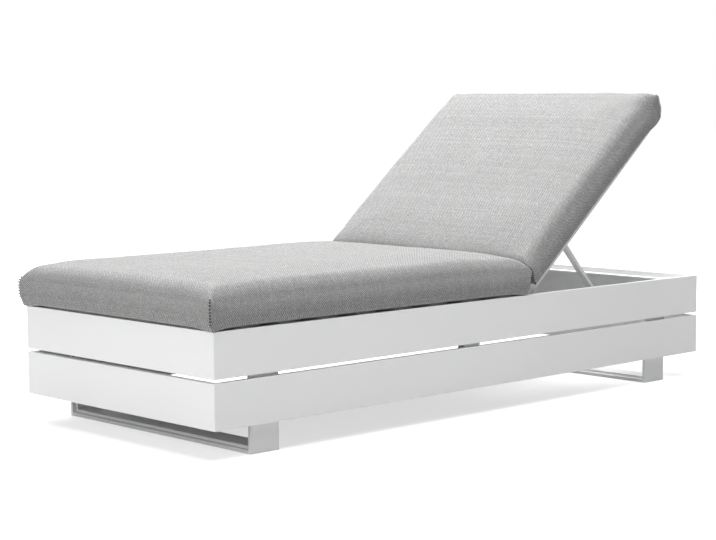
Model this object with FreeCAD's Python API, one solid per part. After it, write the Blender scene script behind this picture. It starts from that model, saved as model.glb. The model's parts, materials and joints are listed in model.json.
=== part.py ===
import FreeCAD, Part
import math
import os

from FreeCAD import Vector

# Relaxation lounger: a plinth of two plank rings on two sled legs, a slatted deck,
# a seat cushion, and a back that tilts on two hinges and is held by a prop.
# Millimetres. X runs from the foot end to the head end, Y from the near side (left
# of a person lying on it) to the far side, Z up from the floor. The origin is on the
# floor under the middle of the plinth.

# Plinth
overall_length = 2000.0
overall_width = 850.0
leg_clearance = 78.0
plank_height = 120.0
plank_thickness = 18.0
plank_wall = 2.0
ring_gap = 10.0

# Sled legs: a flat bar with a narrower rib on its inner face, set in from the plinth's ends
leg_bar_width = 96.0
leg_face_thickness = 10.0
leg_rib_thickness = 8.0
leg_rib_setback = 12.0
foot_leg_inset = 128.5
head_leg_inset = 151.5
leg_top_gap = 1.0

# Blocks that join the rings at mid length
spacer_width = 60.0
spacer_thickness = 24.0
spacer_offset = -51.0
spacer_overlap = 60.0

# Ledge angle inside the upper ring, its top this far below the planks' top
ledge_drop = 15.0
ledge_shelf = 36.0
ledge_height = 30.0
ledge_thickness = 4.0

# Deck of tubes that stand on the ledge
deck_depth = 25.0
deck_wall = 1.5
deck_side_gap = 11.0
seat_slat_width = 70.0
seat_slat_count = 8
seat_deck_start_gap = 12.0
hinge_beam_width = 40.0
hinge_beam_gap = 22.0

# Back hinge: how far along the plinth it lies, as a share of the length
hinge_share = 0.604
back_tilt_deg = 40.0
ear_thickness = 6.0
hinge_bolt_diameter = 10.0
bolt_head_radius = 9.0
bolt_head_height = 4.0

# Back frame
stile_width = 30.0
stile_side_gap = 15.0
stile_head_gap = 35.0
back_bar_width = 30.0
back_bar_start = 45.0
back_slat_width = 50.0
back_slat_depth = 15.0
back_slat_count = 5

# Prop: pivot just below the last back slat that starts within a share of the way from
# the hinge to the prop's foot, foot under the ledges and short of the head leg
prop_slat_share = 0.5
prop_slat_gap = 0.4
prop_pivot_drop = 12.0
prop_foot_drop = 16.0
prop_foot_leg_gap = 10.0
prop_arm_width = 22.0
prop_arm_depth = 10.0
prop_eye_radius = 8.0
prop_pin_diameter = 8.0
prop_foot_bar_diameter = 10.0
prop_foot_bar_end_gap = 4.0
lug_thickness = 4.0
lug_radius = 10.0

# Notched track for the prop's foot
rack_thickness = 12.0
rack_height = 32.0
rack_end_margin = 14.0
rack_foot_gap = 2.0
notch_depth = 4.0
notch_radius = 6.5
notch_tilts_deg = (10.0, 20.0, 30.0, 40.0, 50.0)

# Cushions
cushion_thickness = 110.0
cushion_crown = 9.0
cushion_side_overhang = 2.0
cushion_side_bulge = 5.0
cushion_top_radius = 36.0
cushion_base_radius = 22.0
cushion_corner_radius = 40.0
cushion_fold_share = 1.5
crown_run = 170.0
seat_cushion_overhang = 11.0
seat_cushion_end_gap = 42.0
back_cushion_start = 45.0
back_cushion_overhang = 49.0
crown_run_shares = (0.15, 0.35, 0.65, 1.0)
rounding_steps = 3

# Clearances
rest_gap = 0.3
running_clearance = 0.05
face_clearance = 0.5
cut_overrun = 5.0

# Heights and places worked out from the sizes above
half_length = overall_length / 2
half_width = overall_width / 2
lower_ring_z = leg_clearance
upper_ring_z = lower_ring_z + plank_height + ring_gap
plinth_top = upper_ring_z + plank_height
inner_half_length = half_length - plank_thickness
inner_half_width = half_width - plank_thickness
ledge_top = plinth_top - ledge_drop
ledge_bottom = ledge_top - ledge_thickness - ledge_height
deck_top = ledge_top + rest_gap + deck_depth
hinge_x = (hinge_share - 0.5) * overall_length
hinge_z = ledge_top + rest_gap + deck_depth / 2
stile_outer = inner_half_width - stile_side_gap
stile_inner = stile_outer - stile_width
ear_outer = stile_inner - face_clearance
lug_inner = stile_inner - lug_thickness
arm_outer = lug_inner - face_clearance
arm_inner = arm_outer - prop_arm_width
foot_leg_x = foot_leg_inset + leg_bar_width / 2 - half_length
head_leg_x = half_length - head_leg_inset - leg_bar_width / 2
stile_length = half_length - hinge_x - stile_head_gap
prop_foot_height = ledge_bottom - prop_foot_drop
prop_foot_end_x = head_leg_x - leg_bar_width / 2 - prop_foot_leg_gap
rack_top = prop_foot_height - prop_foot_bar_diameter / 2 - rack_foot_gap

Y_AXIS = Vector(0, 1, 0)
Z_AXIS = Vector(0, 0, 1)
SIDES = {"left": -1, "right": 1}


def block(x0, x1, y0, y1, z0, z1):
    """Box between two corners, given in any order."""
    low = Vector(min(x0, x1), min(y0, y1), min(z0, z1))
    return Part.makeBox(abs(x1 - x0), abs(y1 - y0), abs(z1 - z0), low)


def prism(points, direction):
    """Solid with a polygonal outline, pushed along a direction."""
    wire = Part.makePolygon(points + [points[0]])
    return Part.Face(wire).extrude(direction)


def bar_along_y(radius, x, z, y0, y1):
    """Round bar parallel to Y."""
    return Part.makeCylinder(radius, abs(y1 - y0), Vector(x, min(y0, y1), z), Y_AXIS)


def tube_along_y(x0, x1, z0, z1, y0, y1, wall):
    """Rectangular tube parallel to Y, open at both ends."""
    outer = block(x0, x1, y0, y1, z0, z1)
    low = min(y0, y1) - cut_overrun
    high = max(y0, y1) + cut_overrun
    bore = block(x0 + wall, x1 - wall, low, high, z0 + wall, z1 - wall)
    return outer.cut(bore)


def tube_along_x(x0, x1, y0, y1, z0, z1, wall):
    """Rectangular tube parallel to X, open at both ends."""
    outer = block(x0, x1, y0, y1, z0, z1)
    low, high = min(y0, y1), max(y0, y1)
    bore = block(x0 - cut_overrun, x1 + cut_overrun, low + wall, high - wall, z0 + wall, z1 - wall)
    return outer.cut(bore)


def mitred_plank(length, z0):
    """Hollow plank along X with 45 degree ends, outer face at y = 0, depth towards +y."""
    half = length / 2
    outline = [
        Vector(-half, 0, z0),
        Vector(half, 0, z0),
        Vector(half - plank_thickness, plank_thickness, z0),
        Vector(plank_thickness - half, plank_thickness, z0),
    ]
    plank = prism(outline, Vector(0, 0, plank_height))
    bore = block(
        -half - cut_overrun, half + cut_overrun,
        plank_wall, plank_thickness - plank_wall,
        z0 + plank_wall, z0 + plank_height - plank_wall,
    )
    return plank.cut(bore)


def ring_of_planks(name, z0):
    """Four mitred planks, one node each, that make one ring of the plinth."""
    places = {
        "left": (overall_length, half_width, 0),
        "head": (overall_width, half_length, 90),
        "right": (overall_length, half_width, 180),
        "foot": (overall_width, half_length, 270),
    }
    ring = {}
    for side, (length, distance, turn) in places.items():
        plank = mitred_plank(length, z0)
        plank.translate(Vector(0, -distance, 0))
        plank.rotate(Vector(0, 0, 0), Z_AXIS, turn)
        ring[name + "_" + side] = plank
    return ring


def ledge_angles():
    """Angle bars inside the upper ring, shelf on top, mitred at the corners."""
    places = {
        "left": (2 * inner_half_length, inner_half_width, 0),
        "head": (2 * inner_half_width, inner_half_length, 90),
        "right": (2 * inner_half_length, inner_half_width, 180),
        "foot": (2 * inner_half_width, inner_half_length, 270),
    }
    ledges = {}
    for side, (length, distance, turn) in places.items():
        half = length / 2
        shelf_z = ledge_top - ledge_thickness
        angle = block(-half, half, 0, ledge_shelf, shelf_z, ledge_top).fuse(
            block(-half, half, 0, ledge_thickness, ledge_bottom, shelf_z)
        )
        mitre = prism(
            [
                Vector(-half, 0, ledge_bottom),
                Vector(half, 0, ledge_bottom),
                Vector(half - ledge_shelf, ledge_shelf, ledge_bottom),
                Vector(ledge_shelf - half, ledge_shelf, ledge_bottom),
            ],
            Vector(0, 0, ledge_height + ledge_thickness),
        )
        bar = angle.common(mitre).removeSplitter()
        bar.translate(Vector(0, -distance, 0))
        bar.rotate(Vector(0, 0, 0), Z_AXIS, turn)
        ledges["ledge_" + side] = bar
    return ledges


def stepped_section():
    """Outline of the leg bar as (across, depth) pairs, outer face at depth 0."""
    face = leg_bar_width / 2
    rib = face - leg_rib_setback
    total = leg_face_thickness + leg_rib_thickness
    return [
        (-face, 0), (face, 0), (face, leg_face_thickness), (rib, leg_face_thickness),
        (rib, total), (-rib, total), (-rib, leg_face_thickness), (-face, leg_face_thickness),
    ]


def leg_pieces(name, x):
    """Base bar and two uprights of one sled leg, mitred where they meet."""
    depth = leg_face_thickness + leg_rib_thickness
    reach = inner_half_width
    top = ledge_bottom - leg_top_gap
    side = x - leg_bar_width
    width = 2 * leg_bar_width
    section = stepped_section()

    base = prism([Vector(x + u, -reach, v) for u, v in section], Vector(0, 2 * reach, 0))
    base_mitre = prism(
        [
            Vector(side, -reach, 0),
            Vector(side, reach, 0),
            Vector(side, reach - depth, depth),
            Vector(side, depth - reach, depth),
        ],
        Vector(width, 0, 0),
    )
    pieces = {name + "_base": base.common(base_mitre)}
    for label, sign in SIDES.items():
        outline = [Vector(x + u, sign * (reach - v), 0) for u, v in section]
        upright = prism(outline, Vector(0, 0, top))
        mitre = prism(
            [
                Vector(side, sign * reach, 0),
                Vector(side, sign * (reach - depth), depth),
                Vector(side, sign * (reach - depth), top),
                Vector(side, sign * reach, top),
            ],
            Vector(width, 0, 0),
        )
        pieces[name + "_upright_" + label] = upright.common(mitre)
    return pieces


def mid_spacers():
    """Blocks behind both rings at mid length, one on each side."""
    low = lower_ring_z + plank_height - spacer_overlap
    high = upper_ring_z + spacer_overlap
    left = spacer_offset - spacer_width / 2
    right = spacer_offset + spacer_width / 2
    blocks = {}
    for label, sign in SIDES.items():
        outer = sign * inner_half_width
        inner = sign * (inner_half_width - spacer_thickness)
        blocks["mid_spacer_" + label] = block(left, right, outer, inner, low, high)
    return blocks


def hinge_beam_span():
    """Where the hinge beam starts and ends along X."""
    end = hinge_x - deck_depth / 2 - hinge_beam_gap
    return end - hinge_beam_width, end


def seat_deck():
    """Cross tubes under the seat cushion and the beam that carries the back's hinges."""
    z0 = deck_top - deck_depth
    reach = inner_half_width - deck_side_gap
    beam_start, beam_end = hinge_beam_span()
    first = seat_deck_start_gap - inner_half_length
    pitch = (beam_start - first) / seat_slat_count
    deck = {"hinge_beam": tube_along_y(beam_start, beam_end, z0, deck_top, -reach, reach, deck_wall)}
    for index in range(seat_slat_count):
        x = first + index * pitch
        slat = tube_along_y(x, x + seat_slat_width, z0, deck_top, -reach, reach, deck_wall)
        deck["seat_slat_" + str(index + 1)] = slat
    return deck


def hinge_parts():
    """Ears on the hinge beam and the bolts that the back turns on."""
    _, beam_end = hinge_beam_span()
    bolt_radius = hinge_bolt_diameter / 2
    eye_radius = deck_depth / 2
    parts = {}
    for label, sign in SIDES.items():
        outer = sign * ear_outer
        inner = sign * (ear_outer - ear_thickness)
        plate = block(beam_end, hinge_x, outer, inner, hinge_z - eye_radius, hinge_z + eye_radius)
        eye = bar_along_y(eye_radius, hinge_x, hinge_z, outer, inner)
        past_outer = sign * (ear_outer + cut_overrun)
        past_inner = sign * (ear_outer - ear_thickness - cut_overrun)
        hole = bar_along_y(bolt_radius + running_clearance, hinge_x, hinge_z, past_outer, past_inner)
        parts["hinge_ear_" + label] = plate.fuse(eye).cut(hole).removeSplitter()

        head_face = stile_outer + rest_gap
        nut_face = ear_outer - ear_thickness
        shank = bar_along_y(bolt_radius, hinge_x, hinge_z, sign * head_face, sign * nut_face)
        head = bar_along_y(
            bolt_head_radius, hinge_x, hinge_z, sign * head_face, sign * (head_face + bolt_head_height)
        )
        nut = bar_along_y(
            bolt_head_radius, hinge_x, hinge_z, sign * nut_face, sign * (nut_face - bolt_head_height)
        )
        parts["hinge_bolt_" + label] = shank.fuse(head).fuse(nut).removeSplitter()
    return parts


def on_back(shape):
    """Turn a shape made flat, with the hinge at its origin, to the back's rest tilt."""
    placed = shape.copy()
    placed.rotate(Vector(0, 0, 0), Y_AXIS, -back_tilt_deg)
    placed.translate(Vector(hinge_x, 0, hinge_z))
    return placed


def stiles():
    """Side tubes of the back: round hinge end, closed tip, hole for the hinge bolt."""
    half = deck_depth / 2
    hole_radius = hinge_bolt_diameter / 2 + running_clearance
    parts = {}
    for label, sign in SIDES.items():
        outer = sign * stile_outer
        inner = sign * stile_inner
        tube = tube_along_x(deck_depth, stile_length - deck_wall, outer, inner, -half, half, deck_wall)
        plug = block(0, deck_depth, outer, inner, -half, half)
        cap = block(stile_length - deck_wall, stile_length, outer, inner, -half, half)
        eye = bar_along_y(half, 0, 0, outer, inner)
        past_outer = sign * (stile_outer + cut_overrun)
        past_inner = sign * (stile_inner - cut_overrun)
        hole = bar_along_y(hole_radius, 0, 0, past_outer, past_inner)
        stile = plug.fuse([eye, tube, cap]).cut(hole).removeSplitter()
        parts["stile_" + label] = on_back(stile)
    return parts


def back_slat_start(index):
    """Distance from the hinge to a back slat's lower edge, the slats being evenly spaced."""
    first_gap_start = back_bar_start + back_bar_width
    free_length = stile_length - back_bar_width - first_gap_start
    gap = (free_length - back_slat_count * back_slat_width) / (back_slat_count + 1)
    return first_gap_start + gap + index * (back_slat_width + gap)


def back_panel():
    """Cross tubes between the stiles: two end bars and the slats between them."""
    half = deck_depth / 2
    bars = {"back_bar_bottom": back_bar_start, "back_bar_top": stile_length - back_bar_width}
    parts = {}
    for name, start in bars.items():
        bar = tube_along_y(start, start + back_bar_width, -half, half, -stile_inner, stile_inner, deck_wall)
        parts[name] = on_back(bar)
    for index in range(back_slat_count):
        start = back_slat_start(index)
        slat = tube_along_y(
            start, start + back_slat_width, half - back_slat_depth, half, -stile_inner, stile_inner, deck_wall
        )
        parts["back_slat_" + str(index + 1)] = on_back(slat)
    return parts


def prop_pivot_along():
    """Distance from the hinge to the prop's pivot, its lugs just clear of a back slat."""
    limit = prop_slat_share * (prop_foot_end_x - hinge_x)
    starts = [back_slat_start(index) for index in range(back_slat_count)]
    slat_start = max(start for start in starts if start <= limit)
    return slat_start - prop_slat_gap - lug_radius


def prop_lugs_and_pins():
    """Plates on the stiles' inner faces and the pins that the prop's arms turn on."""
    along = prop_pivot_along()
    pin_radius = prop_pin_diameter / 2
    top = deck_depth / 2
    parts = {}
    for label, sign in SIDES.items():
        outer = sign * stile_inner
        inner = sign * lug_inner
        x0 = along - lug_radius
        x1 = along + lug_radius
        plate = block(x0, x1, outer, inner, -prop_pivot_drop, top)
        eye = bar_along_y(lug_radius, along, -prop_pivot_drop, outer, inner)
        past_outer = sign * (stile_inner + cut_overrun)
        past_inner = sign * (lug_inner - cut_overrun)
        hole = bar_along_y(
            pin_radius + running_clearance, along, -prop_pivot_drop, past_outer, past_inner
        )
        parts["prop_lug_" + label] = on_back(plate.fuse(eye).cut(hole).removeSplitter())

        arm_end = arm_inner - rest_gap
        shank = bar_along_y(pin_radius, along, -prop_pivot_drop, outer, sign * arm_end)
        head = bar_along_y(
            prop_eye_radius, along, -prop_pivot_drop, sign * arm_end, sign * (arm_end - lug_thickness)
        )
        parts["prop_pin_" + label] = on_back(shank.fuse(head).removeSplitter())
    return parts


def prop_pivot(tilt_deg):
    """Place of the prop's upper pivot when the back stands at a tilt."""
    tilt = math.radians(tilt_deg)
    along = prop_pivot_along()
    x = hinge_x + along * math.cos(tilt) + prop_pivot_drop * math.sin(tilt)
    z = hinge_z + along * math.sin(tilt) - prop_pivot_drop * math.cos(tilt)
    return x, z


def prop_length():
    """Distance from the prop's pivot to its foot bar, which nears the leg as the back lies flat."""
    pivot_x, pivot_z = prop_pivot(0)
    return math.hypot(prop_foot_end_x - pivot_x, pivot_z - prop_foot_height)


def prop_foot_x(tilt_deg):
    """Where the foot bar lies along its track when the back stands at a tilt."""
    pivot_x, pivot_z = prop_pivot(tilt_deg)
    drop = pivot_z - prop_foot_height
    return pivot_x + math.sqrt(prop_length() ** 2 - drop ** 2)


def prop_parts():
    """Two flat arms with an eye at each end, and the round bar that joins their feet."""
    length = prop_length()
    half = prop_arm_depth / 2
    pin_hole = prop_pin_diameter / 2 + running_clearance
    foot_hole = prop_foot_bar_diameter / 2 + running_clearance
    pivot_x, pivot_z = prop_pivot(back_tilt_deg)
    slope_deg = math.degrees(math.asin((pivot_z - prop_foot_height) / length))
    parts = {}
    for label, sign in SIDES.items():
        outer = sign * arm_outer
        inner = sign * arm_inner
        past_outer = sign * (arm_outer + cut_overrun)
        past_inner = sign * (arm_inner - cut_overrun)
        flat = block(0, length, outer, inner, -half, half)
        eyes = [bar_along_y(prop_eye_radius, x, 0, outer, inner) for x in (0, length)]
        holes = [
            bar_along_y(pin_hole, 0, 0, past_outer, past_inner),
            bar_along_y(foot_hole, length, 0, past_outer, past_inner),
        ]
        arm = flat.fuse(eyes).cut(holes).removeSplitter()
        arm.rotate(Vector(0, 0, 0), Y_AXIS, slope_deg)
        arm.translate(Vector(pivot_x, 0, pivot_z))
        parts["prop_arm_" + label] = arm
    reach = inner_half_width - prop_foot_bar_end_gap
    parts["prop_foot_bar"] = bar_along_y(
        prop_foot_bar_diameter / 2, prop_foot_x(back_tilt_deg), prop_foot_height, -reach, reach
    )
    return parts


def prop_racks():
    """Tracks on the side planks with a round notch for each tilt of the back."""
    low_x = prop_foot_x(max(notch_tilts_deg)) - rack_end_margin
    high_x = prop_foot_end_x + prop_foot_leg_gap / 2
    notch_z = rack_top - notch_depth + notch_radius
    parts = {}
    for label, sign in SIDES.items():
        outer = sign * inner_half_width
        inner = sign * (inner_half_width - rack_thickness)
        bar = block(low_x, high_x, outer, inner, rack_top - rack_height, rack_top)
        past_outer = sign * (inner_half_width + cut_overrun)
        past_inner = sign * (inner_half_width - rack_thickness - cut_overrun)
        notches = [
            bar_along_y(notch_radius, prop_foot_x(tilt), notch_z, past_outer, past_inner)
            for tilt in notch_tilts_deg
        ]
        parts["prop_rack_" + label] = bar.cut(notches)
    return parts


def rounded_outline(x0, x1, half, radius, z):
    """Closed rectangle with round corners at one height."""
    bend = radius * math.sqrt(0.5)
    mid = radius - bend
    corners = [
        (Vector(x1 - radius, -half, z), Vector(x1 - mid, -half + mid, z), Vector(x1, -half + radius, z)),
        (Vector(x1, half - radius, z), Vector(x1 - mid, half - mid, z), Vector(x1 - radius, half, z)),
        (Vector(x0 + radius, half, z), Vector(x0 + mid, half - mid, z), Vector(x0, half - radius, z)),
        (Vector(x0, radius - half, z), Vector(x0 + mid, mid - half, z), Vector(x0 + radius, -half, z)),
    ]
    edges = []
    for index, (start, middle, end) in enumerate(corners):
        next_start = corners[(index + 1) % len(corners)][0]
        edges.append(Part.Arc(start, middle, end).toShape())
        edges.append(Part.LineSegment(end, next_start).toShape())
    return Part.Wire(edges)


def cushion_levels():
    """(inset, height) pairs up a cushion: round base, drawn-out side, round top, crown."""
    base_radius = cushion_base_radius
    top_radius = cushion_top_radius
    levels = []
    for step in range(rounding_steps + 1):
        angle = math.radians(90.0 * step / rounding_steps)
        levels.append((base_radius * (1 - math.sin(angle)), base_radius * (1 - math.cos(angle))))
    middle = (base_radius + cushion_thickness - top_radius) / 2
    levels.append((-cushion_side_bulge, middle))
    for step in range(rounding_steps + 1):
        angle = math.radians(90.0 * step / rounding_steps)
        height = cushion_thickness - top_radius + top_radius * math.sin(angle)
        levels.append((top_radius * (1 - math.cos(angle)), height))
    for share in crown_run_shares:
        rise = cushion_crown * (2 * share - share ** 2)
        levels.append((top_radius + crown_run * share, cushion_thickness + rise))
    return levels


def cushion(x0, x1, fold_at_end):
    """Crowned box cushion from x0 to x1 on z = 0, rounder at the end where the back folds."""
    half = half_width + cushion_side_overhang
    wires = []
    for inset, height in cushion_levels():
        fold_inset = inset * cushion_fold_share if inset > 0 else inset
        start = x0 + (inset if fold_at_end else fold_inset)
        end = x1 - (fold_inset if fold_at_end else inset)
        wires.append(rounded_outline(start, end, half - inset, cushion_corner_radius, height))
    return Part.makeLoft(wires, True, True)


def seat_cushion():
    """Cushion on the fixed deck, from beyond the foot end to short of the hinge."""
    start = -half_length - seat_cushion_overhang
    pad = cushion(start, hinge_x - seat_cushion_end_gap, True)
    pad.translate(Vector(0, 0, deck_top + rest_gap))
    return pad


def back_cushion():
    """Cushion on the back frame, made flat and turned to its tilt."""
    pad = cushion(back_cushion_start, stile_length + back_cushion_overhang, False)
    pad.translate(Vector(0, 0, deck_depth / 2 + rest_gap))
    return on_back(pad)


def build():
    """All nodes of the lounger by name."""
    nodes = {}
    nodes.update(ring_of_planks("rail_upper", upper_ring_z))
    nodes.update(ring_of_planks("rail_lower", lower_ring_z))
    nodes.update(leg_pieces("leg_foot", foot_leg_x))
    nodes.update(leg_pieces("leg_head", head_leg_x))
    nodes.update(mid_spacers())
    nodes.update(ledge_angles())
    nodes.update(seat_deck())
    nodes.update(hinge_parts())
    nodes.update(prop_racks())
    nodes["seat_cushion"] = seat_cushion()
    nodes.update(stiles())
    nodes.update(back_panel())
    nodes.update(prop_lugs_and_pins())
    nodes["back_cushion"] = back_cushion()
    nodes.update(prop_parts())
    return nodes


os.makedirs("parts", exist_ok=True)
for node_name, node_shape in build().items():
    node_shape.exportStep("parts/" + node_name + ".step")
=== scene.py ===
import json
import math
from collections import namedtuple

import bmesh
import bpy
from mathutils import Matrix, Vector, noise
from mathutils.bvhtree import BVHTree


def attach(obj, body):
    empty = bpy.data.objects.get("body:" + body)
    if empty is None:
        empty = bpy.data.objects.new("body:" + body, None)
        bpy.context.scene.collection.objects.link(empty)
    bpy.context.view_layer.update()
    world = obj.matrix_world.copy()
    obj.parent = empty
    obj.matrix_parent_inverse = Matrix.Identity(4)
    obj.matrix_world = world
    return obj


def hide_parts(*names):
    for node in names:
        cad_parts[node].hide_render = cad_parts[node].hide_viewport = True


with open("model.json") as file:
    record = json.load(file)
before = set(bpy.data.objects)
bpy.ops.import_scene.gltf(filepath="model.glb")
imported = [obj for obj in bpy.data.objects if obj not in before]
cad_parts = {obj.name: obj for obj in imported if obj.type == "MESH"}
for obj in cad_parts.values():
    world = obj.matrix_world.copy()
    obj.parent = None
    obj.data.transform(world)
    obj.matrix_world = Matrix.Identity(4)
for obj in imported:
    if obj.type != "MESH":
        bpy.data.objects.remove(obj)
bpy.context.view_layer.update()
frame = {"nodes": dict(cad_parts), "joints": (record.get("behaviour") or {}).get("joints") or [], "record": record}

# Relaxation lounger, in metres. X runs from the foot end to the head end, Y from the
# near side to the far side, Z up from the floor.


def solid_box(node, place):
    """Lowest and highest corner of a solid, measured from a place and along its axes."""
    from_place = place.inverted()
    points = [from_place @ vertex.co for vertex in frame["nodes"][node].data.vertices]
    low = [round(min(point[axis] for point in points), SOLID_DIGITS) for axis in range(3)]
    high = [round(max(point[axis] for point in points), SOLID_DIGITS) for axis in range(3)]
    return low, high


# Back's joint, at whose lower limit the back lies flat
TILT_JOINT = next(joint for joint in frame["joints"] if joint["name"] == "backrest_tilt")
BACK_TILT = math.radians(-min(TILT_JOINT["range_deg"]))
HINGE = Vector(TILT_JOINT["pos_m"])
BACK_PLACE = Matrix.Translation(HINGE) @ Matrix.Rotation(-BACK_TILT, 4, "Y")

# Cushions' solids, to a tenth of a millimetre: the seat's as it lies, the back's in the
# frame that turns with the back about the hinge
SOLID_DIGITS = 4
SEAT_LOW, SEAT_HIGH = solid_box("seat_cushion", Matrix())
BACK_LOW, BACK_HIGH = solid_box("back_cushion", BACK_PLACE)
DECK_TOP = SEAT_LOW[2]
BACK_DECK = BACK_LOW[2]

# Camera of the photograph, its lens and sensor in millimetres
CAMERA_PLACE = Vector((-3.6728, -3.8155, 0.8859))
CAMERA_YAW = math.radians(46.979)
CAMERA_PITCH = math.radians(5.373)
CAMERA_ROLL = math.radians(-0.418)
CAMERA_LENS = 87.97
CAMERA_REACH = 200.0
SENSOR_WIDTH = 36.0

# Rounded edges of the hard pieces
EDGE_WIDTH = 0.0009
EDGE_STEPS = 2
EDGE_ANGLE = math.radians(40.0)
WELD_REACH = 0.00002

# Cushions before the cloth is blown up, each in its own flat frame: smaller than their
# solids by an ease, but longer at the fold, where they meet
SIDE_EASE = 0.005
HEAD_EASE = 0.0055
SEAT_FOLD_GROWTH = 0.004
BACK_FOLD_GROWTH = 0.018
PAD_HALF_WIDTH = SEAT_HIGH[1] - SIDE_EASE
PAD_THICKNESS = 0.107
PAD_BELLY = 0.006
PAD_BASE_RADIUS = 0.013
PAD_CORNER_RADIUS = 0.005
CORNER_GROWTH_SHARE = 0.8
SEAT_TOP_RADIUS = 0.034
SEAT_START = SEAT_LOW[0] + SIDE_EASE
SEAT_END = SEAT_HIGH[0] + SEAT_FOLD_GROWTH
SEAT_LOWEST = -0.0094
BACK_TOP_RADIUS = 0.028
BACK_START = BACK_LOW[0] - BACK_FOLD_GROWTH
BACK_END = BACK_HIGH[0] - HEAD_EASE
BACK_SHIFT = 0.006
BACK_LOWEST = -0.0098
FOLD_TOP_SHARE = 1.9
FOLD_BASE_SHARE = 2.2

# Angles in degrees
QUARTER_TURN = 90.0
EIGHTH_TURN = 45.0

# Cells of a pad's grid
CELL = 0.0112
CORNER_CELLS = 3
BASE_STEPS = 3
WALL_STEPS = 7
TOP_STEPS = 5

# Cloth simulation, the cap on its moves and the share of them that is kept
CLOTH_FRAMES = 20
CLOTH_QUALITY = 4
CLOTH_MASS = 0.3
CLOTH_STRETCH = 12.0
CLOTH_BENDING = 2.0
CLOTH_PRESSURE = 4.0
CLOTH_CAP = 0.024
CLOTH_SHARE = 0.22
CLOTH_SMOOTHING = 8
SMOOTHING_SHARE = 0.5
BASE_HOLD_HEIGHT = 0.0005
SEAM_HOLD_REACH = 2 * PAD_CORNER_RADIUS
SEAM_HOLD_SHARE = 0.7
LEAST_MOVE = 1e-9

# Filling: crown, long waves and short ripples of the cushions' tops
PAD_CROWN = 0.0115
CROWN_RUN = 0.17
WAVE_HEIGHT = 0.0020
WAVE_RATES = (5.0, 6.0, 4.0)
RIPPLE_HEIGHT = 0.0007
RIPPLE_RATE = 16.0
RIPPLE_LAYER = 3.0

# Corners of the cushions: the top is drawn down to the seams, with a shallow dip before
# it, and the corners stand out most at the seams' upper ends
CORNER_REACH = 0.013
DIP = 0.0030
DIP_PLACE = 0.075
DIP_REACH = 0.04
PULL_REACH = 0.030
PULL_LEAST = 0.0022
SEAT_PULL = 0.0065
SEAT_PULL_HEIGHTS = (0.045, 0.070)
FOLD_PULL = 0.0035
FOLD_PULL_HEIGHTS = (0.045, 0.075)
HEAD_TUCK = 0.0025
HEAD_PULL = 0.0110
HEAD_PULL_HEIGHTS = (0.048, 0.076)
BACK_MIDDLE = 0.4

# Sagging rims and drooping corners of the cushions, and the runs over which they set in
SEAT_SIDE_RUN = (0.394, 0.425)
SEAT_FOOT_RUN = (0.970, 1.010)
SEAT_SAG = 0.0060
SEAT_CORNER_SAG = 0.002
SEAT_DROOP = 0.0095
SEAT_DROOP_REACH = 0.045
SEAT_FOLD_SAG = 0.0035
SEAT_FOLD_RUN = (-0.12, 0.12)
BACK_SIDE_RUN = (0.392, 0.425)
BACK_UPPER_RUN = (0.35, 0.74)
BACK_HEAD_RUN = (0.772, 0.800)
BACK_FREE_RUN = (0.5, 0.6)
BACK_SAG = 0.003
BACK_DROOP = 0.013
BACK_DROOP_PLACE = 0.03
BACK_DROOP_REACH = 0.045
BACK_LEAN = 0.0075
LEAN_LOSS_SHARE = 0.5
LEAN_LOSS_RUN = (0.70, 0.80)

# Dent that the seat cushion's end presses into the back cushion's lower end
FOLD_PRESS = 0.014
FOLD_PRESS_RUN = (0.035, 0.12)
FOLD_PRESS_HEIGHT = 0.070
FOLD_PRESS_REACH = 0.030

# Corner seams: dark stitches on a shallow crease. The stitches' near-black colour is partly thread colour and
# partly painted shade of the crease
SEAM_BASE = 0.008
SEAM_TOP = 0.074
SEAM_POINTS = 60
SEAM_DEPTH = 0.0034
CREASE_REACH = 0.0035
CREASE_START = (0.004, 0.012)
CREASE_FADE = (0.062, 0.082)
STITCH_PITCH = 0.0080
STITCH_LENGTH = 0.0046
STITCH_RADIUS = 0.0025
STITCH_ROUNDING = 2
STITCH_LIFT = 0.0012
RAY_START = 0.08

# Weave, on an unrolled map whose sides start just under the cover's top
MAP_EDGE_DROP = 0.001
YARN = 0.0034
YARN_SWAY = 0.004
SLUB_CONTRAST = 0.38
MELANGE_CONTRAST = 0.32

# Colours
LIGHT_CLOTH = (0.47, 0.47, 0.468, 1.0)
DARK_CLOTH = (0.23, 0.229, 0.227, 1.0)
# Seam thread: near-black, partly the thread's own colour and partly painted shade of the corner creases
THREAD_AND_CREASE_SHADE = (0.032, 0.031, 0.030, 1.0)
COAT = (0.86, 0.868, 0.862, 1.0)
STEEL = (0.60, 0.60, 0.59, 1.0)
FLOOR = (0.56, 0.56, 0.56, 1.0)
WHITE = (1.0, 1.0, 1.0, 1.0)

# Floor and surroundings
FLOOR_REACH = 40.0
FLOOR_GLOW = 0.62
GLOW_RUN = (1.2, 2.6)
WORLD_LIGHT = 0.04

# Square lamps, each turned to its target, with the power in watts
Lamp = namedtuple("Lamp", "name place target size power")
LAMPS = (
    Lamp("light_top", place=(0.1, -0.3, 4.0), target=(0.0, 0.0, 0.3), size=4.2, power=300.0),
    Lamp("light_far", place=(0.6, 3.2, 3.4), target=(0.0, 0.0, 0.3), size=2.6, power=150.0),
    Lamp("light_foot", place=(-4.6, -0.8, 1.9), target=(-0.6, 0.0, 0.3), size=2.4, power=88.0),
    Lamp("light_side", place=(-2.6, -4.0, 1.4), target=(-0.6, 0.0, 0.2), size=2.0, power=18.0),
)


def add_node(tree, kind, inputs=(), **settings):
    """New shader node with its settings and input values; a socket given as value is linked."""
    node = tree.nodes.new(kind)
    for name, value in settings.items():
        setattr(node, name, value)
    for key, value in dict(inputs).items():
        if isinstance(value, bpy.types.NodeSocket):
            tree.links.new(value, node.inputs[key])
        else:
            node.inputs[key].default_value = value
    return node


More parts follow.
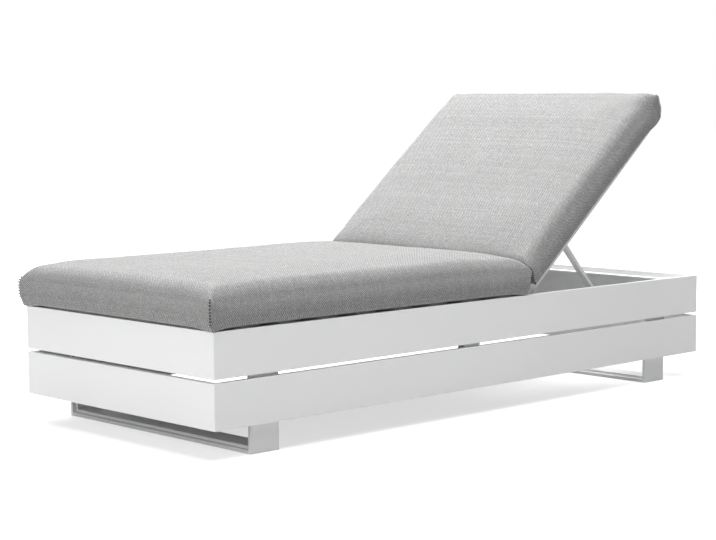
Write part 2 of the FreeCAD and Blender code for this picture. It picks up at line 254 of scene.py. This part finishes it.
def calc(tree, operation, *values):
    """Output of a Math node."""
    return add_node(tree, "ShaderNodeMath", dict(enumerate(values)), operation=operation).outputs[0]


def calc_vector(tree, operation, first, second):
    """Output of a Vector Math node."""
    return add_node(tree, "ShaderNodeVectorMath", {0: first, 1: second}, operation=operation).outputs[0]


def mix_color(tree, factor, first, second):
    """Output of a colour Mix node."""
    node = tree.nodes.new("ShaderNodeMix")
    node.data_type = "RGBA"
    for key, value in (("Factor_Float", factor), ("A_Color", first), ("B_Color", second)):
        socket = next(s for s in node.inputs if s.identifier == key)
        if isinstance(value, bpy.types.NodeSocket):
            tree.links.new(value, socket)
        else:
            socket.default_value = value
    return next(s for s in node.outputs if s.identifier == "Result_Color")


def mix_value(tree, factor, first, second):
    """Value between two values."""
    return calc(tree, "ADD", first, calc(tree, "MULTIPLY", factor, calc(tree, "SUBTRACT", second, first)))


def varied(tree, value, contrast):
    """Factor around 1 that varies with a value between 0 and 1."""
    return calc(tree, "MULTIPLY_ADD", value, contrast, 1.0 - contrast / 2)


def noise_value(tree, vector, scale=1.0, detail=2.0):
    """Value of a noise texture, around a half."""
    node = add_node(tree, "ShaderNodeTexNoise", {"Vector": vector, "Scale": scale, "Detail": detail})
    return node.outputs["Fac"]


def add_bump(tree, shader, height, strength, distance):
    """Relief of a surface from a height value."""
    bump = add_node(
        tree, "ShaderNodeBump", {"Height": height, "Strength": strength, "Distance": distance}
    )
    tree.links.new(bump.outputs[0], shader.inputs["Normal"])


def scaled_color(color, share):
    """A colour made darker or lighter by a share."""
    return tuple(value * share for value in color[:3]) + (1.0,)


def new_tree(owner, output="ShaderNodeOutputMaterial"):
    """The emptied node tree of a material or world, and its output node."""
    owner.use_nodes = True
    tree = owner.node_tree
    tree.nodes.clear()
    return tree, tree.nodes.new(output)


def new_material(name):
    """Empty node material: its tree, Principled shader and object coordinates."""
    material = bpy.data.materials.new(name)
    tree, output = new_tree(material)
    shader = tree.nodes.new("ShaderNodeBsdfPrincipled")
    tree.links.new(shader.outputs[0], output.inputs["Surface"])
    coords = tree.nodes.new("ShaderNodeTexCoord")
    return material, tree, shader, coords.outputs["Object"]


def powder_coat_material():
    """White satin coating with a fine orange peel and slightly uneven gloss."""
    cloud_scale, peel_scale, gloss_scale = 3.0, 700.0, 40.0
    shade_share = 0.965
    roughness, roughness_change = 0.43, 0.14
    peel_strength, peel_depth = 0.12, 0.0004
    gleam = 0.2
    material, tree, shader, place = new_material("powder_coat")
    cloudy = noise_value(tree, place, cloud_scale)
    peel = noise_value(tree, place, peel_scale, detail=1.0)
    gloss = noise_value(tree, place, gloss_scale)
    color = mix_color(tree, cloudy, scaled_color(COAT, shade_share), COAT)
    tree.links.new(color, shader.inputs["Base Color"])
    rough = calc(tree, "MULTIPLY_ADD", gloss, roughness_change, roughness)
    tree.links.new(rough, shader.inputs["Roughness"])
    add_bump(tree, shader, peel, peel_strength, peel_depth)
    shader.inputs["Specular IOR Level"].default_value = gleam
    return material


def steel_material():
    """Satin steel with fine turning marks."""
    mark_rates = (900.0, 40.0, 900.0)
    shade_share = 0.8
    roughness, roughness_change = 0.25, 0.2
    mark_strength, mark_depth = 0.1, 0.0002
    material, tree, shader, place = new_material("steel_fastener")
    stretch = add_node(tree, "ShaderNodeMapping", {"Vector": place, "Scale": mark_rates})
    marks = noise_value(tree, stretch.outputs[0])
    color = mix_color(tree, marks, scaled_color(STEEL, shade_share), STEEL)
    tree.links.new(color, shader.inputs["Base Color"])
    rough = calc(tree, "MULTIPLY_ADD", marks, roughness_change, roughness)
    tree.links.new(rough, shader.inputs["Roughness"])
    add_bump(tree, shader, marks, mark_strength, mark_depth)
    shader.inputs["Metallic"].default_value = 1.0
    return material


def yarn_profile(tree, share):
    """Round profile across a yarn, 0 at its edges and 1 at its middle."""
    return calc(tree, "SINE", calc(tree, "MULTIPLY", share, math.pi))


def yarn_height(tree, profile, other):
    """Height of a yarn that dips where it goes under its neighbours."""
    dip_share = 0.4
    return calc(tree, "MULTIPLY", profile, calc(tree, "MULTIPLY_ADD", other, dip_share, 1.0 - dip_share))


def slubs(tree, across, along):
    """Uneven lightness along each yarn: one value per yarn, and thick and thin stretches of it."""
    yarn_step, stretch_rate = 7.3, 0.22
    yarn_share, stretch_share = 0.45, 0.55
    yarn = calc(tree, "FLOOR", across)
    whole = add_node(tree, "ShaderNodeTexWhiteNoise", {"W": yarn}, noise_dimensions="1D").outputs["Value"]
    row = calc(tree, "MULTIPLY", yarn, yarn_step)
    run = calc(tree, "MULTIPLY", along, stretch_rate)
    place = add_node(tree, "ShaderNodeCombineXYZ", {0: row, 1: run})
    stretch = noise_value(tree, place.outputs[0], detail=1.0)
    return calc(tree, "MULTIPLY_ADD", whole, yarn_share, calc(tree, "MULTIPLY", stretch, stretch_share))


def yarn_places(tree):
    """Two counts of yarns, across and along the cloth's unrolled map, that sway a little."""
    sway_scale = 28.0
    unrolled = add_node(tree, "ShaderNodeUVMap", uv_map="cloth").outputs[0]
    sway = add_node(tree, "ShaderNodeTexNoise", {"Vector": unrolled, "Scale": sway_scale, "Detail": 1.0})
    shift = calc_vector(tree, "MULTIPLY", sway.outputs["Color"], (YARN_SWAY,) * 3)
    swayed = calc_vector(tree, "ADD", unrolled, shift)
    scaled = calc_vector(tree, "MULTIPLY", swayed, (1.0 / YARN,) * 3)
    parts = add_node(tree, "ShaderNodeSeparateXYZ", {0: scaled})
    return parts.outputs[0], parts.outputs[1]


def cloth_material():
    """Plain weave of a light and a dark yarn that follows the cover's own unrolled map, with painted shade in the
    dips between yarns.
    """
    cloud_scale, cloud_contrast = 9.0, 0.10
    pit_shade_share = 0.45
    relief_strength, relief_depth = 0.55, 0.0009
    roughness, roughness_change = 0.85, 0.1
    gleam = 0.2
    sheen, sheen_roughness = 0.12, 0.45
    material, tree, shader, place = new_material("cushion_cloth")
    u, v = yarn_places(tree)
    across = yarn_profile(tree, calc(tree, "FRACT", u))
    along = yarn_profile(tree, calc(tree, "FRACT", v))
    column, row = calc(tree, "FLOOR", u), calc(tree, "FLOOR", v)
    warp_up = calc(tree, "FLOORED_MODULO", calc(tree, "ADD", column, row), 2.0)
    weft_up = calc(tree, "SUBTRACT", 1.0, warp_up)
    warp = calc(tree, "MULTIPLY", yarn_height(tree, across, along), warp_up)
    weft = calc(tree, "MULTIPLY", yarn_height(tree, along, across), weft_up)
    height = calc(tree, "ADD", warp, weft)

    fibres = mix_value(tree, warp_up, slubs(tree, v, u), slubs(tree, u, v))
    crossing = add_node(tree, "ShaderNodeCombineXYZ", {0: column, 1: row})
    melange = add_node(
        tree, "ShaderNodeTexWhiteNoise", {"Vector": crossing.outputs[0]}, noise_dimensions="2D"
    )
    cloudy = noise_value(tree, place, cloud_scale)
    tone = varied(tree, fibres, SLUB_CONTRAST)
    tone = calc(tree, "MULTIPLY", tone, varied(tree, melange.outputs["Value"], MELANGE_CONTRAST))
    tone = calc(tree, "MULTIPLY", tone, varied(tree, cloudy, cloud_contrast))
    # Painted shade: the colour is darkened where a yarn dips under its neighbours, standing in for the shade
    # between yarns
    painted_pit_shade = calc(tree, "MULTIPLY_ADD", height, pit_shade_share, 1.0 - pit_shade_share)
    tone = calc(tree, "MULTIPLY", tone, painted_pit_shade)
    woven = mix_color(tree, warp_up, DARK_CLOTH, LIGHT_CLOTH)
    tree.links.new(calc_vector(tree, "MULTIPLY", woven, tone), shader.inputs["Base Color"])

    add_bump(tree, shader, height, relief_strength, relief_depth)
    rough = calc(tree, "MULTIPLY_ADD", fibres, roughness_change, roughness)
    tree.links.new(rough, shader.inputs["Roughness"])
    shader.inputs["Specular IOR Level"].default_value = gleam
    shader.inputs["Sheen Weight"].default_value = sheen
    shader.inputs["Sheen Roughness"].default_value = sheen_roughness
    return material


def thread_and_shade_material():
    """Dark twisted sewing thread, its near-black colour partly thread colour and partly painted shade of the
    seam's crease.
    """
    twist_scale = 1500.0
    light_share = 2.0
    twist_strength, twist_depth = 0.5, 0.0003
    roughness = 0.8
    material, tree, shader, place = new_material("seam_thread")
    twist = noise_value(tree, place, twist_scale)
    color = mix_color(tree, twist, THREAD_AND_CREASE_SHADE, scaled_color(THREAD_AND_CREASE_SHADE, light_share))
    tree.links.new(color, shader.inputs["Base Color"])
    add_bump(tree, shader, twist, twist_strength, twist_depth)
    shader.inputs["Roughness"].default_value = roughness
    return material


def seen_directly(tree):
    """1 for rays that come from the eye, a reflection or glass, else 0."""
    path = tree.nodes.new("ShaderNodeLightPath")
    seen = calc(tree, "MAXIMUM", path.outputs["Is Camera Ray"], path.outputs["Is Glossy Ray"])
    return calc(tree, "MAXIMUM", seen, path.outputs["Is Transmission Ray"])


def floor_material():
    """Pale floor that looks white to the eye where no shadow falls, and keeps the shadow."""
    material = bpy.data.materials.new("studio_floor")
    tree, output = new_tree(material)
    seen = seen_directly(tree)
    coords = tree.nodes.new("ShaderNodeTexCoord")
    away = add_node(tree, "ShaderNodeVectorMath", {0: coords.outputs["Object"]}, operation="LENGTH")
    fade_run = {"From Min": GLOW_RUN[0], "From Max": GLOW_RUN[1], "To Min": FLOOR_GLOW, "To Max": 1.0}
    fade = add_node(
        tree, "ShaderNodeMapRange", {"Value": away.outputs["Value"], **fade_run},
        interpolation_type="SMOOTHSTEP",
    )
    diffuse = add_node(tree, "ShaderNodeBsdfDiffuse", {"Color": FLOOR})
    strength = calc(tree, "MULTIPLY", seen, fade.outputs[0])
    glow = add_node(tree, "ShaderNodeEmission", {"Strength": strength})
    both = add_node(tree, "ShaderNodeAddShader", {0: diffuse.outputs[0], 1: glow.outputs[0]})
    tree.links.new(both.outputs[0], output.inputs["Surface"])
    return material


POWDER_COAT = powder_coat_material()
STEEL_FINISH = steel_material()
CLOTH = cloth_material()
SEAM_THREAD_AND_SHADE = thread_and_shade_material()


def dress_solids():
    """Gives every hard node its finish and slightly rounded edges."""
    slots = {part["node"]: part["material_slot"] for part in frame["record"]["subparts"]}
    finishes = {"powder_coat": POWDER_COAT, "steel_fastener": STEEL_FINISH, "cushion_cloth": CLOTH}
    for name, node in frame["nodes"].items():
        node.data.materials.clear()
        node.data.materials.append(finishes[slots[name]])
        weld = node.modifiers.new("weld", "WELD")
        weld.merge_threshold = WELD_REACH
        edge = node.modifiers.new("edge", "BEVEL")
        edge.width = EDGE_WIDTH
        edge.segments = EDGE_STEPS
        edge.limit_method = "ANGLE"
        edge.angle_limit = EDGE_ANGLE
        edge.use_clamp_overlap = True
        edge.harden_normals = True


def smooth_step(low, high, value):
    """0 below low, 1 above high and a smooth rise between them."""
    share = max(0.0, min(1.0, (value - low) / (high - low)))
    return share * share * (3 - 2 * share)


def bell(distance, reach):
    """1 at no distance, falling off smoothly over the reach."""
    return math.exp(-((distance / reach) ** 2))


def corner_places(pad):
    """The four upright corners of a pad, seen from above."""
    return [Vector((x, y, 0)) for x in (pad.start, pad.end) for y in (-PAD_HALF_WIDTH, PAD_HALF_WIDTH)]


def distance_to_corner(point, corners):
    """How far a point lies from the nearest upright corner, seen from above."""
    flat = Vector((point.x, point.y, 0))
    return min((flat - corner).length for corner in corners)


def border_point(i, j, counts, box, radius):
    """Point (i, j) of a grid's border laid round a rectangle with round corners."""
    count_x, count_y = counts
    x0, x1, half = box
    bend = CORNER_CELLS
    if j in (0, count_y):
        side = -1.0 if j == 0 else 1.0
        if bend <= i <= count_x - bend:
            share = (i - bend) / (count_x - 2 * bend)
            return Vector((x0 + radius + share * (x1 - x0 - 2 * radius), side * half, 0))
    else:
        side = -1.0 if j < count_y / 2 else 1.0
        if bend <= j <= count_y - bend:
            share = (j - bend) / (count_y - 2 * bend)
            return Vector((x0 if i == 0 else x1, (2 * share - 1) * (half - radius), 0))
    end = -1.0 if i < count_x / 2 else 1.0
    along = min(i, count_x - i) / bend
    across = min(j, count_y - j) / bend
    angle = math.radians(EIGHTH_TURN + EIGHTH_TURN * (along - across))
    centre_x = x0 + radius if end < 0 else x1 - radius
    centre_y = side * (half - radius)
    return Vector((centre_x + end * radius * math.cos(angle), centre_y + side * radius * math.sin(angle), 0))


def pad_levels(top_radius):
    """(inset, height) pairs up the side of a pad, round at the bottom and the top."""
    base = []
    for step in range(BASE_STEPS + 1):
        angle = math.radians(QUARTER_TURN * step / BASE_STEPS)
        base.append((PAD_BASE_RADIUS * (1 - math.sin(angle)), PAD_BASE_RADIUS * (1 - math.cos(angle))))
    wall = []
    rise = PAD_THICKNESS - top_radius - PAD_BASE_RADIUS
    for step in range(1, WALL_STEPS):
        share = step / WALL_STEPS
        wall.append((-PAD_BELLY * math.sin(math.pi * share), PAD_BASE_RADIUS + rise * share))
    top = []
    for step in range(TOP_STEPS + 1):
        angle = math.radians(QUARTER_TURN * step / TOP_STEPS)
        height = PAD_THICKNESS - top_radius * (1 - math.sin(angle))
        top.append((top_radius * (1 - math.cos(angle)), height))
    return base + wall + top


def level_box(pad, inset, height):
    """Start, end and half width of a pad at one level, with a longer rounding at the fold."""
    fold_share = FOLD_BASE_SHARE if height < PAD_THICKNESS / 2 else FOLD_TOP_SHARE
    fold_inset = inset * fold_share if inset > 0 else 0.0
    start = pad.start + (fold_inset if pad.fold_end == "low" else inset)
    end = pad.end - (fold_inset if pad.fold_end == "high" else inset)
    return start, end, PAD_HALF_WIDTH - inset


def border_cells(counts):
    """The (i, j) places round a grid's border, in order."""
    count_x, count_y = counts
    near = [(i, 0) for i in range(count_x)]
    high = [(count_x, j) for j in range(count_y)]
    far = [(i, count_y) for i in range(count_x, 0, -1)]
    low = [(0, j) for j in range(count_y, 0, -1)]
    return near + high + far + low


def fill_grid(shell, ring, counts, height):
    """Vertices of a flat panel inside a ring of border vertices, evenly drawn out between them."""
    count_x, count_y = counts
    grid = dict(ring)
    at = {key: vertex.co.copy() for key, vertex in ring.items()}
    for i in range(1, count_x):
        for j in range(1, count_y):
            u, v = i / count_x, j / count_y
            point = (
                (1 - v) * at[i, 0] + v * at[i, count_y] + (1 - u) * at[0, j] + u * at[count_x, j]
                - (1 - u) * (1 - v) * at[0, 0] - u * (1 - v) * at[count_x, 0]
                - (1 - u) * v * at[0, count_y] - u * v * at[count_x, count_y]
            )
            point.z = height
            grid[i, j] = shell.verts.new(point)
    for i in range(count_x):
        for j in range(count_y):
            shell.faces.new((grid[i, j], grid[i + 1, j], grid[i + 1, j + 1], grid[i, j + 1]))


def pad_shell(pad):
    """Closed pad with round edges and tight upright corners, rounder at the end by the fold."""
    shell = bmesh.new()
    counts = (
        round((pad.end - pad.start) / CELL) + 2 * CORNER_CELLS,
        round(2 * PAD_HALF_WIDTH / CELL) + 2 * CORNER_CELLS,
    )
    border = border_cells(counts)
    rings = []
    for inset, height in pad_levels(pad.top_radius):
        radius = PAD_CORNER_RADIUS + CORNER_GROWTH_SHARE * max(0.0, inset)
        box = level_box(pad, inset, height)
        ring = {}
        for i, j in border:
            point = border_point(i, j, counts, box, radius)
            point.z = height
            ring[i, j] = shell.verts.new(point)
        rings.append(ring)
    for low, high in zip(rings, rings[1:]):
        for here, after in zip(border, border[1:] + border[:1]):
            shell.faces.new((low[here], low[after], high[after], high[here]))
    fill_grid(shell, rings[-1], counts, PAD_THICKNESS)
    fill_grid(shell, rings[0], counts, 0.0)
    bmesh.ops.recalc_face_normals(shell, faces=shell.faces)
    mesh = bpy.data.meshes.new(pad.name)
    shell.to_mesh(mesh)
    shell.free()
    return mesh


def applied(piece):
    """The mesh of a piece with its modifiers applied."""
    graph = bpy.context.evaluated_depsgraph_get()
    return bpy.data.meshes.new_from_object(piece.evaluated_get(graph))


def map_cloth(mesh, pad):
    """Unrolled map of the cover: the top panel runs down the sides to the corner seams."""
    layer = mesh.uv_layers.new(name="cloth")
    middle = (pad.start + pad.end) / 2
    half_length = (pad.end - pad.start) / 2
    edge_height = PAD_THICKNESS - MAP_EDGE_DROP
    for face in mesh.polygons:
        centre = face.center
        to_end = half_length - abs(centre.x - middle)
        to_side = PAD_HALF_WIDTH - abs(centre.y)
        for index in face.loop_indices:
            point = mesh.vertices[mesh.loops[index].vertex_index].co
            drop = max(0.0, edge_height - point.z)
            u, v = point.x, point.y
            if to_side < to_end:
                v += math.copysign(drop, centre.y)
            else:
                u += math.copysign(drop, centre.x - middle)
            layer.data[index].uv = (u, v)


def hold_cover(piece, rest, corners):
    """Vertex group that pins the cover's underside and holds its corner seams."""
    held = piece.vertex_groups.new(name="held")
    held.add([i for i, point in enumerate(rest) if point.z < BASE_HOLD_HEIGHT], 1.0, "REPLACE")
    seams = [
        i for i, point in enumerate(rest)
        if point.z > BASE_HOLD_HEIGHT and distance_to_corner(point, corners) < SEAM_HOLD_REACH
    ]
    held.add(seams, SEAM_HOLD_SHARE, "REPLACE")
    return held


def add_cloth(piece, held):
    """Cloth under inner pressure, without gravity."""
    cloth = piece.modifiers.new("cloth", "CLOTH")
    cloth.settings.quality = CLOTH_QUALITY
    cloth.settings.mass = CLOTH_MASS
    cloth.settings.tension_stiffness = CLOTH_STRETCH
    cloth.settings.compression_stiffness = CLOTH_STRETCH
    cloth.settings.bending_stiffness = CLOTH_BENDING
    cloth.settings.use_pressure = True
    cloth.settings.uniform_pressure_force = CLOTH_PRESSURE
    cloth.settings.vertex_group_mass = held.name
    cloth.settings.effector_weights.gravity = 0.0
    cloth.collision_settings.use_collision = False
    cloth.point_cache.frame_start = 1
    cloth.point_cache.frame_end = CLOTH_FRAMES


def smoothed_moves(mesh, moves):
    """How far each point moves, evened out with its neighbours."""
    links = [[] for _ in moves]
    for edge in mesh.edges:
        low, high = edge.vertices
        links[low].append(high)
        links[high].append(low)
    for step in range(CLOTH_SMOOTHING):
        means = [sum((moves[other] for other in near), Vector()) / len(near) for near in links]
        moves = [move.lerp(mean, SMOOTHING_SHARE) for move, mean in zip(moves, means)]
    return moves


def blow_up(piece, pad):
    """Cloth simulation of the cover round its filling; how far a point moves is capped."""
    rest = [vertex.co.copy() for vertex in piece.data.vertices]
    held = hold_cover(piece, rest, corner_places(pad))
    add_cloth(piece, held)
    scene = bpy.context.scene
    for step in range(1, CLOTH_FRAMES + 1):
        scene.frame_set(step)
    blown = applied(piece)
    moves = [blown.vertices[i].co - point for i, point in enumerate(rest)]
    piece.modifiers.clear()
    scene.frame_set(1)
    for vertex, point, move in zip(piece.data.vertices, rest, smoothed_moves(piece.data, moves)):
        length = move.length
        if length > LEAST_MOVE:
            capped = CLOTH_CAP * math.tanh(length / CLOTH_CAP)
            vertex.co = point + move * (capped * CLOTH_SHARE / length)


def filled_height(pad, point, reach):
    """Height of a point with the crown, the unevenness of the filling and the drawn-in corners."""
    middle = (pad.start + pad.end) / 2
    height = max(0.0, min(1.0, point.z / PAD_THICKNESS))
    to_edge = min(PAD_HALF_WIDTH - abs(point.y), (pad.end - pad.start) / 2 - abs(point.x - middle))
    rate_x, rate_y, rate_z = WAVE_RATES
    wave_place = Vector((point.x * rate_x, point.y * rate_y, point.z * rate_z + pad.start))
    ripple_place = Vector((point.x * RIPPLE_RATE, point.y * RIPPLE_RATE, RIPPLE_LAYER + pad.start))
    wave = WAVE_HEIGHT * noise.noise(wave_place)
    ripple = RIPPLE_HEIGHT * noise.noise(ripple_place)
    rise = PAD_CROWN * smooth_step(0.0, CROWN_RUN, to_edge)
    top = point.z + height * (rise + wave + ripple)
    if top > SEAM_TOP:
        top = SEAM_TOP + (top - SEAM_TOP) * (1 - math.exp(-reach / CORNER_REACH))
    return top - DIP * height * bell(reach - DIP_PLACE, DIP_REACH)


def fold_dent(pad, point):
    """How far the other cushion's end presses into a pad's low end."""
    near_end = 1 - smooth_step(*FOLD_PRESS_RUN, point.x)
    return pad.fold_press * near_end * bell(point.z - FOLD_PRESS_HEIGHT, FOLD_PRESS_REACH)


def settle(piece, pad):
    """Crown, unevenness of the filling, drawn-in corners, sagging edges and creased seams."""
    corners = corner_places(pad)
    middle = (pad.start + pad.end) / 2
    for vertex in piece.data.vertices:
        point = vertex.co.copy()
        reach = distance_to_corner(point, corners)
        vertex.co.z = max(pad.lowest, filled_height(pad, point, reach) - pad.sag(point, reach))
        vertex.co.x += fold_dent(pad, point)
        wall = smooth_step(*CREASE_START, point.z) * (1 - smooth_step(*CREASE_FADE, point.z))
        crease = SEAM_DEPTH * wall * bell(reach, CREASE_REACH)
        inward = Vector((math.copysign(1.0, middle - point.x), math.copysign(1.0, -point.y), 0))
        pull = pad.pull(point) * bell(reach, PULL_REACH)
        vertex.co += inward.normalized() * (crease - math.sqrt(2.0) * pull)


def make_pad(pad):
    """One cushion in its flat frame: shell, map, cloth, settling, one subdivision, seams."""
    piece = bpy.data.objects.new(pad.name, pad_shell(pad))
    bpy.context.scene.collection.objects.link(piece)
    map_cloth(piece.data, pad)
    blow_up(piece, pad)
    settle(piece, pad)
    piece.data.materials.append(CLOTH)
    for face in piece.data.polygons:
        face.use_smooth = True
    finer = piece.modifiers.new("finer", "SUBSURF")
    finer.levels = 1
    finer.render_levels = 1
    sew(pad, piece)
    return piece


def seam_path(surface, x, y, inward):
    """Points up one corner of a cushion, on its surface."""
    path = []
    for step in range(SEAM_POINTS):
        height = SEAM_BASE + (SEAM_TOP - SEAM_BASE) * step / (SEAM_POINTS - 1)
        start = Vector((x, y, height)) - inward * RAY_START
        hit = surface.ray_cast(start, inward)
        if hit[0] is not None:
            path.append(hit[0] - inward * STITCH_LIFT)
    return path


def add_stitch(curve, points):
    """One short run of thread."""
    if len(points) < 2:
        return
    run = curve.splines.new("POLY")
    run.points.add(len(points) - 1)
    for item, point in zip(run.points, points):
        item.co = (point.x, point.y, point.z, 1.0)


def corner_seam(name, path):
    """Row of stitches along a path."""
    curve = bpy.data.curves.new(name, "CURVE")
    curve.dimensions = "3D"
    curve.bevel_depth = STITCH_RADIUS
    curve.bevel_resolution = STITCH_ROUNDING
    curve.use_fill_caps = True
    travelled = 0.0
    stitch = []
    for before, after in zip(path, path[1:]):
        travelled += (after - before).length
        if travelled % STITCH_PITCH < STITCH_LENGTH:
            stitch.append(after)
        elif stitch:
            add_stitch(curve, stitch)
            stitch = []
    sketch = bpy.data.objects.new(name + "_run", curve)
    bpy.context.scene.collection.objects.link(sketch)
    bpy.context.view_layer.update()
    mesh = applied(sketch)
    bpy.data.objects.remove(sketch)
    piece = bpy.data.objects.new(name, mesh)
    bpy.context.scene.collection.objects.link(piece)
    mesh.materials.clear()
    mesh.materials.append(SEAM_THREAD_AND_SHADE)
    return piece


def sew(pad, piece):
    """The four corner seams of a cushion, parented to it."""
    bpy.context.view_layer.update()
    finished = applied(piece)
    corners = [vertex.co for vertex in finished.vertices]
    surface = BVHTree.FromPolygons(corners, [tuple(face.vertices) for face in finished.polygons])
    bpy.data.meshes.remove(finished)
    for end, x, turn_x in (("low", pad.start, 1.0), ("high", pad.end, -1.0)):
        for side, y, turn_y in (("near", -PAD_HALF_WIDTH, 1.0), ("far", PAD_HALF_WIDTH, -1.0)):
            inward = Vector((turn_x, turn_y, 0)).normalized()
            name = pad.name + "_seam_" + end + "_" + side
            seam = corner_seam(name, seam_path(surface, x, y, inward))
            seam.parent = piece


def seat_sag(point, reach):
    """How far the seat cushion's rim drops past the deck's edge, most at the corners."""
    height = max(0.0, point.z / PAD_THICKNESS)
    side = smooth_step(*SEAT_SIDE_RUN, abs(point.y))
    foot = smooth_step(*SEAT_FOOT_RUN, -point.x)
    corner = SEAT_DROOP * (1 - height) * bell(reach, SEAT_DROOP_REACH)
    fold = SEAT_FOLD_SAG * height * smooth_step(*SEAT_FOLD_RUN, point.x)
    return SEAT_SAG * max(side, foot) + SEAT_CORNER_SAG * side * foot + corner + fold


def seat_pull(point):
    """How far the seat cushion's corners stand out, most at the seam's upper end."""
    return PULL_LEAST + SEAT_PULL * smooth_step(*SEAT_PULL_HEIGHTS, point.z)


def back_sag(point, reach):
    """How far the back cushion's sides and free upper corners drop past the frame."""
    height = max(0.0, point.z / PAD_THICKNESS)
    side = smooth_step(*BACK_SIDE_RUN, abs(point.y))
    upper = smooth_step(*BACK_UPPER_RUN, point.x)
    free = max(side, smooth_step(*BACK_HEAD_RUN, point.x)) * smooth_step(*BACK_FREE_RUN, point.x)
    corner = BACK_DROOP * (1 - height) * free * bell(reach - BACK_DROOP_PLACE, BACK_DROOP_REACH)
    lean = BACK_LEAN * point.y / PAD_HALF_WIDTH * smooth_step(0.0, PAD_THICKNESS, point.z)
    lean *= 1 - LEAN_LOSS_SHARE * smooth_step(*LEAN_LOSS_RUN, point.x)
    return BACK_SAG * side * upper + corner - lean


def back_pull(point):
    """How far the back cushion's corners stand out, most at the seam's upper end."""
    if point.x < BACK_MIDDLE:
        return PULL_LEAST + FOLD_PULL * smooth_step(*FOLD_PULL_HEIGHTS, point.z)
    return -HEAD_TUCK + HEAD_PULL * smooth_step(*HEAD_PULL_HEIGHTS, point.z)


Pad = namedtuple("Pad", "name start end fold_end fold_press top_radius lowest sag pull")

SEAT_PAD = Pad(
    name="seat_pad", start=SEAT_START, end=SEAT_END, fold_end="high", fold_press=0.0,
    top_radius=SEAT_TOP_RADIUS, lowest=SEAT_LOWEST, sag=seat_sag, pull=seat_pull,
)
BACK_PAD = Pad(
    name="back_pad", start=BACK_START, end=BACK_END, fold_end="low", fold_press=FOLD_PRESS,
    top_radius=BACK_TOP_RADIUS, lowest=BACK_LOWEST, sag=back_sag, pull=back_pull,
)


def seat_cushion():
    """Cushion on the fixed deck."""
    piece = make_pad(SEAT_PAD)
    piece.location = (0.0, 0.0, DECK_TOP)
    bpy.context.view_layer.update()
    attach(piece, "base_frame")
    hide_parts("seat_cushion")


def back_cushion():
    """Cushion on the tilting back."""
    piece = make_pad(BACK_PAD)
    lift = Matrix.Translation(Vector((0.0, BACK_SHIFT, BACK_DECK)))
    piece.matrix_world = BACK_PLACE @ lift
    bpy.context.view_layer.update()
    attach(piece, "backrest")
    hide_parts("back_cushion")


def make_floor():
    """Wide pale floor."""
    mesh = bpy.data.meshes.new("studio_floor")
    sheet = bmesh.new()
    turns = ((-1, -1), (1, -1), (1, 1), (-1, 1))
    sheet.faces.new([sheet.verts.new((x * FLOOR_REACH, y * FLOOR_REACH, 0.0)) for x, y in turns])
    sheet.to_mesh(mesh)
    sheet.free()
    floor = bpy.data.objects.new("studio_floor", mesh)
    bpy.context.scene.collection.objects.link(floor)
    mesh.materials.append(floor_material())


def make_world():
    """Soft white surroundings, pure white to the eye and in reflections."""
    world = bpy.data.worlds.new("studio")
    bpy.context.scene.world = world
    tree, output = new_tree(world, "ShaderNodeOutputWorld")
    strength = calc(tree, "MULTIPLY_ADD", seen_directly(tree), 1.0 - WORLD_LIGHT, WORLD_LIGHT)
    sky = add_node(tree, "ShaderNodeBackground", {"Color": WHITE, "Strength": strength})
    tree.links.new(sky.outputs[0], output.inputs["Surface"])


def make_lamps():
    """Large soft lamps overhead, over the far side, at the foot end and, weak, on the near side."""
    for lamp in LAMPS:
        data = bpy.data.lights.new(lamp.name, "AREA")
        data.shape = "SQUARE"
        data.size = lamp.size
        data.energy = lamp.power
        light = bpy.data.objects.new(lamp.name, data)
        light.location = lamp.place
        sight = Vector(lamp.target) - Vector(lamp.place)
        light.rotation_euler = sight.to_track_quat("-Z", "Y").to_euler()
        bpy.context.scene.collection.objects.link(light)


def make_camera():
    """Camera that stands where the photograph was taken."""
    forward = Vector((
        math.cos(CAMERA_YAW) * math.cos(CAMERA_PITCH),
        math.sin(CAMERA_YAW) * math.cos(CAMERA_PITCH),
        -math.sin(CAMERA_PITCH),
    ))
    level = Vector((math.sin(CAMERA_YAW), -math.cos(CAMERA_YAW), 0.0))
    upright = level.cross(forward)
    right = math.cos(CAMERA_ROLL) * level + math.sin(CAMERA_ROLL) * upright
    up = math.cos(CAMERA_ROLL) * upright - math.sin(CAMERA_ROLL) * level
    data = bpy.data.cameras.new("photo_camera")
    data.lens = CAMERA_LENS
    data.sensor_width = SENSOR_WIDTH
    data.sensor_fit = "HORIZONTAL"
    data.clip_end = CAMERA_REACH
    camera = bpy.data.objects.new("photo_camera", data)
    bpy.context.scene.collection.objects.link(camera)
    axes = Matrix((right, up, -forward)).transposed().to_4x4()
    camera.matrix_world = Matrix.Translation(CAMERA_PLACE) @ axes
    bpy.context.scene.camera = camera


dress_solids()
seat_cushion()
back_cushion()
make_floor()
make_world()
make_lamps()
make_camera()
bpy.context.scene.view_settings.view_transform = "Standard"
